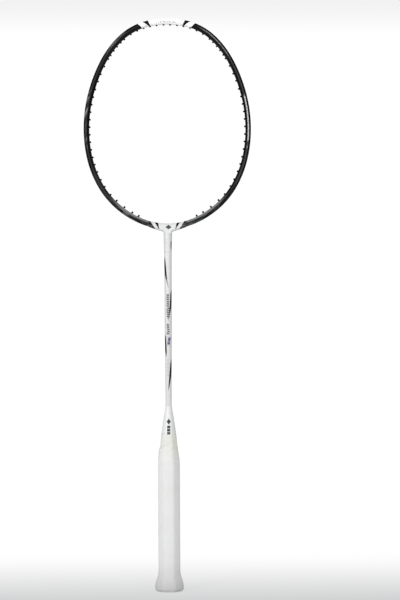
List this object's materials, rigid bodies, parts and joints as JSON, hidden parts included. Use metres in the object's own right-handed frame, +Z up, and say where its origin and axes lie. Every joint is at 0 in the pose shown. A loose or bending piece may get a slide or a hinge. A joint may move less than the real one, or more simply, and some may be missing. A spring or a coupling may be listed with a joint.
{
  "type": "badminton racket",
  "caption": "Unstrung badminton racket: hollow oval head drilled for strings, slim tapered shaft, cone and wrapped eight-sided handle with a flared butt.",
  "frame": {"origin": "centre of the butt's end face", "axes": "+Z up the shaft to the crown of the head, +X across the head, +Y square to the string plane"},
  "size_m": [0.1972, 0.0296, 0.675],
  "materials": {
    "hoop_black": "black gloss lacquer over carbon fibre, with white crown and throat and silver flashes",
    "shaft_white": "white gloss lacquer over carbon fibre with thin black swooshes",
    "throat_white": "white gloss lacquer over the moulded joint",
    "carbon": "bare carbon fibre composite",
    "grommet_black": "black nylon, satin",
    "grommet_white": "white nylon, satin",
    "cone_white": "white moulded plastic with a fine satin skin",
    "wood": "sanded light hardwood, straight grain",
    "foam": "closed-cell foam",
    "adhesive": "double-sided adhesive tape",
    "grip_white": "smooth white polyurethane cushion wrap",
    "tape_clear": "translucent tape with a faint yellow-green cast",
    "cap_white": "white moulded plastic",
    "emblem_grey": "plain printed disc"
  },
  "bodies": {
    "root": {"head_frame": "hoop_black", "t_joint": "carbon", "throat_fairing": "throat_white", "shaft": "shaft_white", "shaft_end_plug": "foam", "crown_grommets": "grommet_black", "shoulder_strip_left": "grommet_black", "shoulder_strip_right": "grommet_black", "side_grommets_left": "grommet_black", "side_grommets_right": "grommet_black", "lower_grommets_left": "grommet_black", "lower_grommets_right": "grommet_black", "throat_grommets": "grommet_white", "handle_core": "wood", "cone_cap": "cone_white", "grip_backing": "adhesive", "base_grip": "grip_white", "finishing_tape": "tape_clear", "butt_cap": "cap_white", "butt_emblem": "emblem_grey"}
  },
  "joints": []
}
